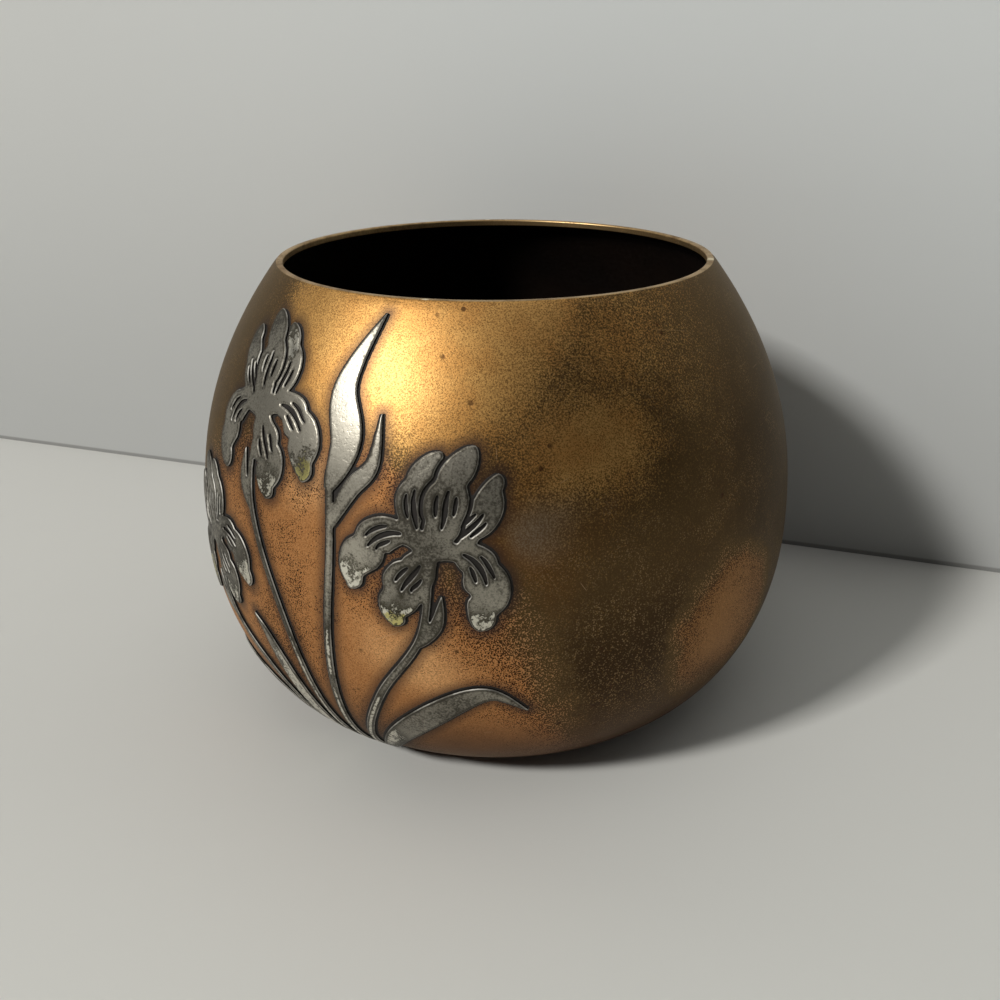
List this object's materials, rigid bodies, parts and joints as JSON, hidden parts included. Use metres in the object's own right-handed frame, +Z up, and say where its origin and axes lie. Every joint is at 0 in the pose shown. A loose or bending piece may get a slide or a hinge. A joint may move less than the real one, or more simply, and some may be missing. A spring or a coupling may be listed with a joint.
{
  "type": "ball vase",
  "caption": "Round ball vase in spun bronze sheet with a wide mouth and a flat silver overlay of irises, leaves and a bud bonded to its side.",
  "frame": {"origin": "centre of the base, on the plane that the vase stands on", "axes": "+Z up along the vase's axis; -Y is the front that the picture shows"},
  "size_m": [0.13, 0.1309, 0.0964],
  "materials": {
    "bronze": "mottled brown and copper patina, satin",
    "silver": "tarnished silver sheet, rubbed bright on its high spots"
  },
  "bodies": {
    "root": {"body": "bronze", "iris_spray_left": "silver", "iris_spray_middle": "silver", "iris_spray_right": "silver", "bud_stem": "silver", "long_leaf": "silver"}
  },
  "joints": []
}
